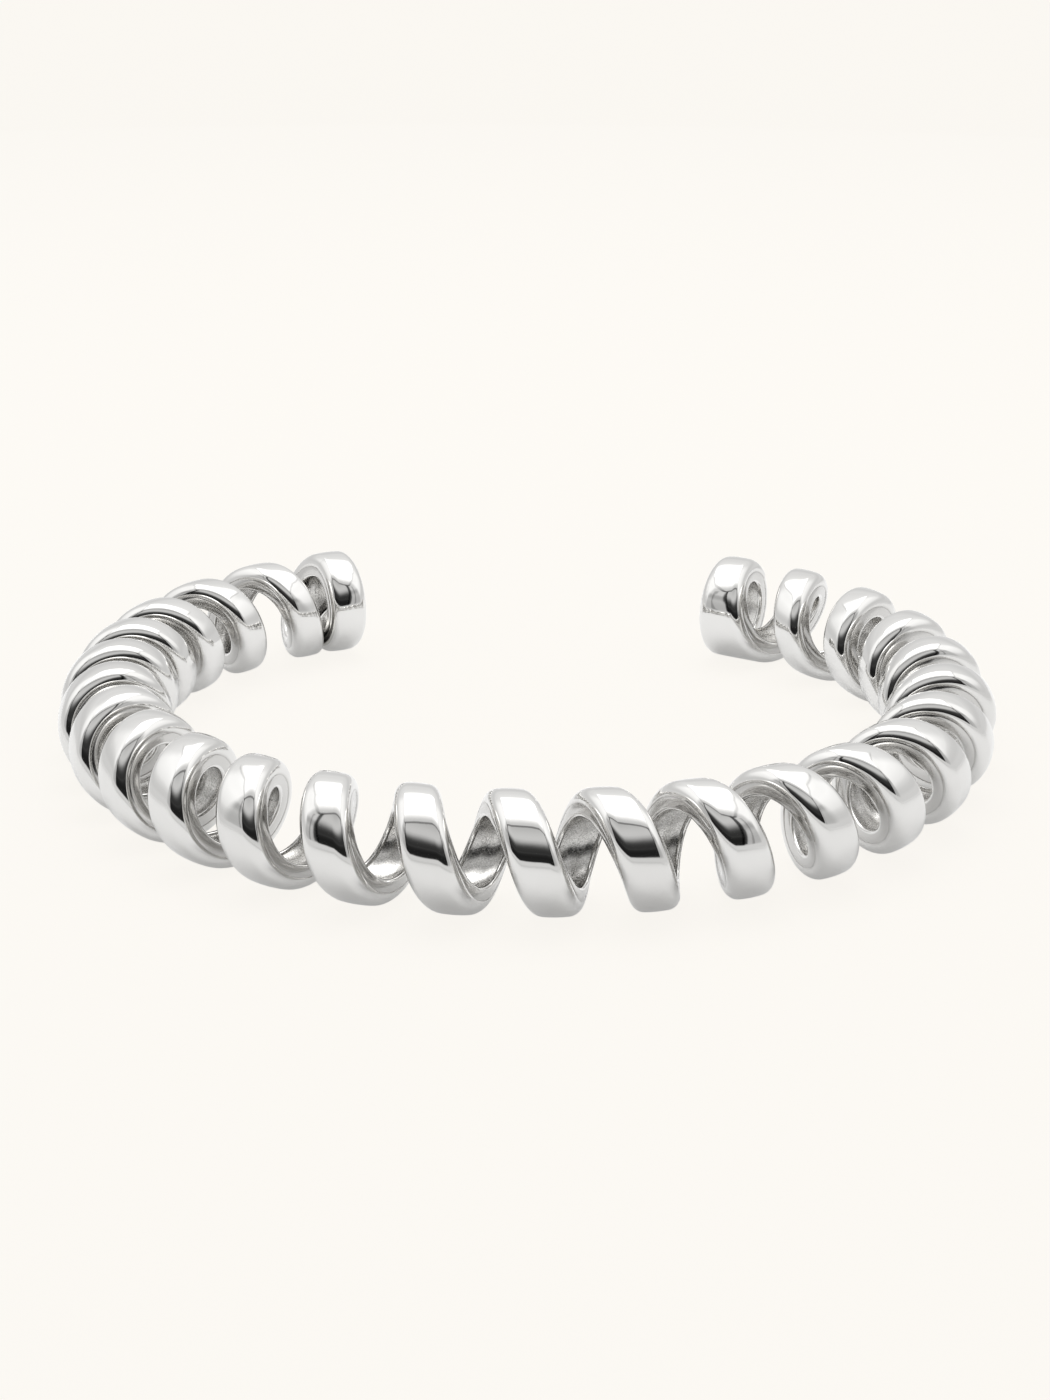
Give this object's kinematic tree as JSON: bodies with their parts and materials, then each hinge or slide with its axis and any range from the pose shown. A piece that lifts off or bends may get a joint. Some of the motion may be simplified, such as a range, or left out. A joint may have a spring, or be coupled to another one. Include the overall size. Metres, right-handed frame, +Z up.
{
  "type": "spiral cuff bangle",
  "caption": "Open cuff bangle made of one polished metal strip wound as a right-handed coil round a C, with a closed ring at each end.",
  "frame": {"origin": "middle of the cuff's outline, on the surface that the cuff lies on", "axes": "+Z up, the way the wrist goes through; +X across the cuff, its longest side, with the opening at +Y and the front of the C at -Y"},
  "size_m": [0.075, 0.0658, 0.009],
  "materials": {
    "silver": "mirror polished, satin in the hollow back of the strip"
  },
  "bodies": {
    "root": {"spiral_cuff": "silver"}
  },
  "joints": []
}
